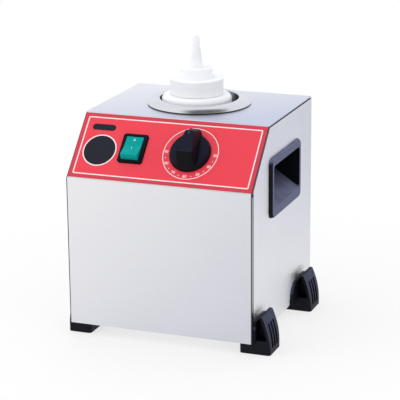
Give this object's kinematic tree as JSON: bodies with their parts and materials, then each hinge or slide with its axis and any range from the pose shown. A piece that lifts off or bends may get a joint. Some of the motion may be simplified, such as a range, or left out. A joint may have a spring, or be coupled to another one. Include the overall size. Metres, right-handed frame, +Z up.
{
  "type": "hot fudge topping warmer",
  "caption": "Countertop topping warmer in stainless sheet with a red sloping control panel, rocker switch, dial knob and a heated well that holds a white squeeze bottle",
  "frame": {"origin": "On the ground, centred under the overall bounding box in X and Y; the feet stand at Z = 0", "axes": "+X to the right seen from the front, +Y from the front panel to the back, +Z up along the bottle"},
  "size_m": [0.211, 0.2066, 0.2815],
  "materials": {
    "satin_stainless": "fine brushed sheet",
    "bright_stainless": "polished",
    "zinc_steel": "zinc plated",
    "red_label": "printed polyester film",
    "black_plastic": "fine moulded texture",
    "black_rubber": "soft",
    "teal_plastic": "translucent moulded",
    "white_plastic": "satin blow moulded",
    "brass": "stamped",
    "ceramic": "unglazed ceramic",
    "copper": "drawn tube",
    "silicone": "woven imprint",
    "glass_wool": "fibrous"
  },
  "bodies": {
    "casing": {"front_sheet": "satin_stainless", "side_panel_left": "satin_stainless", "side_panel_right": "satin_stainless", "base_plate": "satin_stainless", "rear_cover": "satin_stainless", "control_label": "red_label", "switch_housing": "black_plastic", "switch_terminals": "brass", "thermostat_body": "zinc_steel", "thermostat_terminals": "brass", "thermostat_screws": "zinc_steel", "thermostat_bulb": "copper", "thermostat_capillary": "copper", "bulb_pocket": "bright_stainless", "well_pot": "bright_stainless", "rim_seal": "black_rubber", "well_clamp_ring": "zinc_steel", "well_clamp_screws": "zinc_steel", "heater_band": "silicone", "heater_clamp_screw": "zinc_steel", "thermal_cutout": "black_plastic", "cutout_screws": "zinc_steel", "insulation_sleeve": "glass_wool", "terminal_block": "ceramic", "terminal_screws": "brass", "earth_stud": "brass", "earth_nut": "brass", "gland_body": "black_plastic", "gland_seal": "black_rubber", "gland_nut": "black_plastic", "gland_locknut": "black_plastic", "handle_left": "black_plastic", "handle_right": "black_plastic", "foot_front_left": "black_plastic", "foot_front_right": "black_plastic", "foot_rear_left": "black_plastic", "foot_rear_right": "black_plastic", "foot_screws": "zinc_steel", "foot_nuts": "zinc_steel", "rear_cover_screws": "zinc_steel"},
    "rocker": {"switch_rocker": "teal_plastic"},
    "knob": {"thermostat_knob": "black_plastic", "thermostat_shaft": "zinc_steel"},
    "bottle_body": {"bottle": "white_plastic"},
    "cap_body": {"bottle_cap": "white_plastic", "cap_liner": "white_plastic"}
  },
  "joints": [
    {"name": "bottle_lift", "type": "slide", "parent": "casing", "child": "bottle_body", "axis": [0, 0, 1], "range_m": [0, 0.19]},
    {"name": "cap_lift", "type": "slide", "parent": "bottle_body", "child": "cap_body", "axis": [0, 0, 1], "range_m": [0, 0.04]},
    {"name": "rocker_tilt", "type": "hinge", "parent": "casing", "child": "rocker", "pos_m": [-0.0417, -0.07695, 0.18623], "axis": [1, 0, 0], "range_deg": [0, 24]},
    {"name": "knob_turn", "type": "hinge", "parent": "casing", "child": "knob", "pos_m": [0.0173, -0.07676, 0.18716], "axis": [0, 0.7228, -0.691], "range_deg": [0, 270]}
  ]
}
